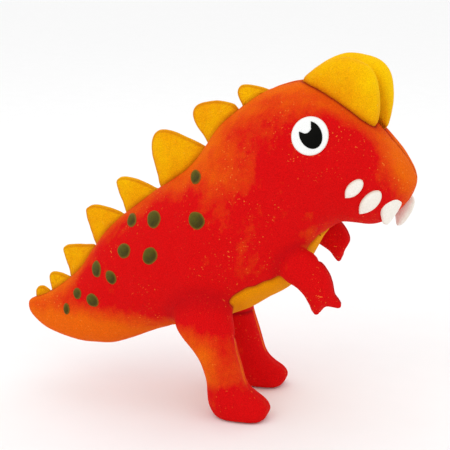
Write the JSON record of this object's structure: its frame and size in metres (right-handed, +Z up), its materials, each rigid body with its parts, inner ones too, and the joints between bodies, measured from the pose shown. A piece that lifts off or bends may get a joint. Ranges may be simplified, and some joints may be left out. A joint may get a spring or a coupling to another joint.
{
  "type": "stuffed dinosaur",
  "caption": "Plush upright dinosaur with sewn velour skin over fibre stuffing, a row of padded back plates, a head crest, and sewn arms and legs that swing.",
  "frame": {"origin": "middle of the bounding box on the plane the soles stand on", "axes": "+X from tail to snout, +Y to the toy's left, +Z up"},
  "size_m": [0.306, 0.1038, 0.2723],
  "materials": {
    "velour_red": "short-pile velour, saturated red with an orange-red sheen",
    "velour_yellow": "short-pile velour, amber yellow",
    "fibre": "white polyester fibre stuffing, matt",
    "felt_white": "white felt, matt",
    "felt_black": "black embroidery, faint thread sheen",
    "thread_green": "dark olive satin-stitch embroidery"
  },
  "bodies": {
    "body": {"body_panel_right": "velour_red", "body_panel_left": "velour_red", "belly_panel": "velour_yellow", "body_stuffing": "fibre", "back_plate_1": "velour_yellow", "back_plate_2": "velour_yellow", "back_plate_3": "velour_yellow", "back_plate_4": "velour_yellow", "back_plate_5": "velour_yellow", "back_plate_6": "velour_yellow", "back_plate_7": "velour_yellow", "back_plate_8": "velour_yellow", "crest_lobe_right": "velour_yellow", "crest_lobe_left": "velour_yellow", "eye_white_right": "felt_white", "eye_white_left": "felt_white", "eye_pupil_right": "felt_black", "eye_pupil_left": "felt_black", "cheek_tooth_right_1": "felt_white", "cheek_tooth_right_2": "felt_white", "cheek_tooth_left_1": "felt_white", "cheek_tooth_left_2": "felt_white", "front_tooth_right": "felt_white", "front_tooth_left": "felt_white", "spot_right_1": "thread_green", "spot_right_2": "thread_green", "spot_right_3": "thread_green", "spot_right_4": "thread_green", "spot_right_5": "thread_green", "spot_right_6": "thread_green", "spot_right_7": "thread_green", "spot_right_8": "thread_green", "spot_right_9": "thread_green", "spot_right_10": "thread_green", "spot_right_11": "thread_green", "spot_left_1": "thread_green", "spot_left_2": "thread_green", "spot_left_3": "thread_green", "spot_left_4": "thread_green", "spot_left_5": "thread_green", "spot_left_6": "thread_green", "spot_left_7": "thread_green", "spot_left_8": "thread_green", "spot_left_9": "thread_green", "spot_left_10": "thread_green", "spot_left_11": "thread_green"},
    "leg_right": {"leg_right_outer_panel": "velour_red", "leg_right_inner_panel": "velour_red", "leg_right_stuffing": "fibre"},
    "leg_left": {"leg_left_outer_panel": "velour_red", "leg_left_inner_panel": "velour_red", "leg_left_stuffing": "fibre"},
    "arm_right": {"arm_right_outer_panel": "velour_red", "arm_right_inner_panel": "velour_red", "arm_right_stuffing": "fibre"},
    "arm_left": {"arm_left_outer_panel": "velour_red", "arm_left_inner_panel": "velour_red", "arm_left_stuffing": "fibre"}
  },
  "joints": [
    {"name": "hip_right", "type": "hinge", "parent": "body", "child": "leg_right", "pos_m": [0.0025, -0.035, 0.0745], "axis": [0, -1, 0], "range_deg": [-25, 25], "stiffness_Nm_per_rad": 5},
    {"name": "hip_left", "type": "hinge", "parent": "body", "child": "leg_left", "pos_m": [0.0025, 0.035, 0.0745], "axis": [0, -1, 0], "range_deg": [-25, 25], "stiffness_Nm_per_rad": 5},
    {"name": "shoulder_right", "type": "hinge", "parent": "body", "child": "arm_right", "pos_m": [0.0705, -0.028, 0.1205], "axis": [0, -1, 0], "range_deg": [-10, 35], "stiffness_Nm_per_rad": 0.04},
    {"name": "shoulder_left", "type": "hinge", "parent": "body", "child": "arm_left", "pos_m": [0.0695, 0.028, 0.1355], "axis": [0, -1, 0], "range_deg": [-24, 4], "stiffness_Nm_per_rad": 0.04}
  ]
}
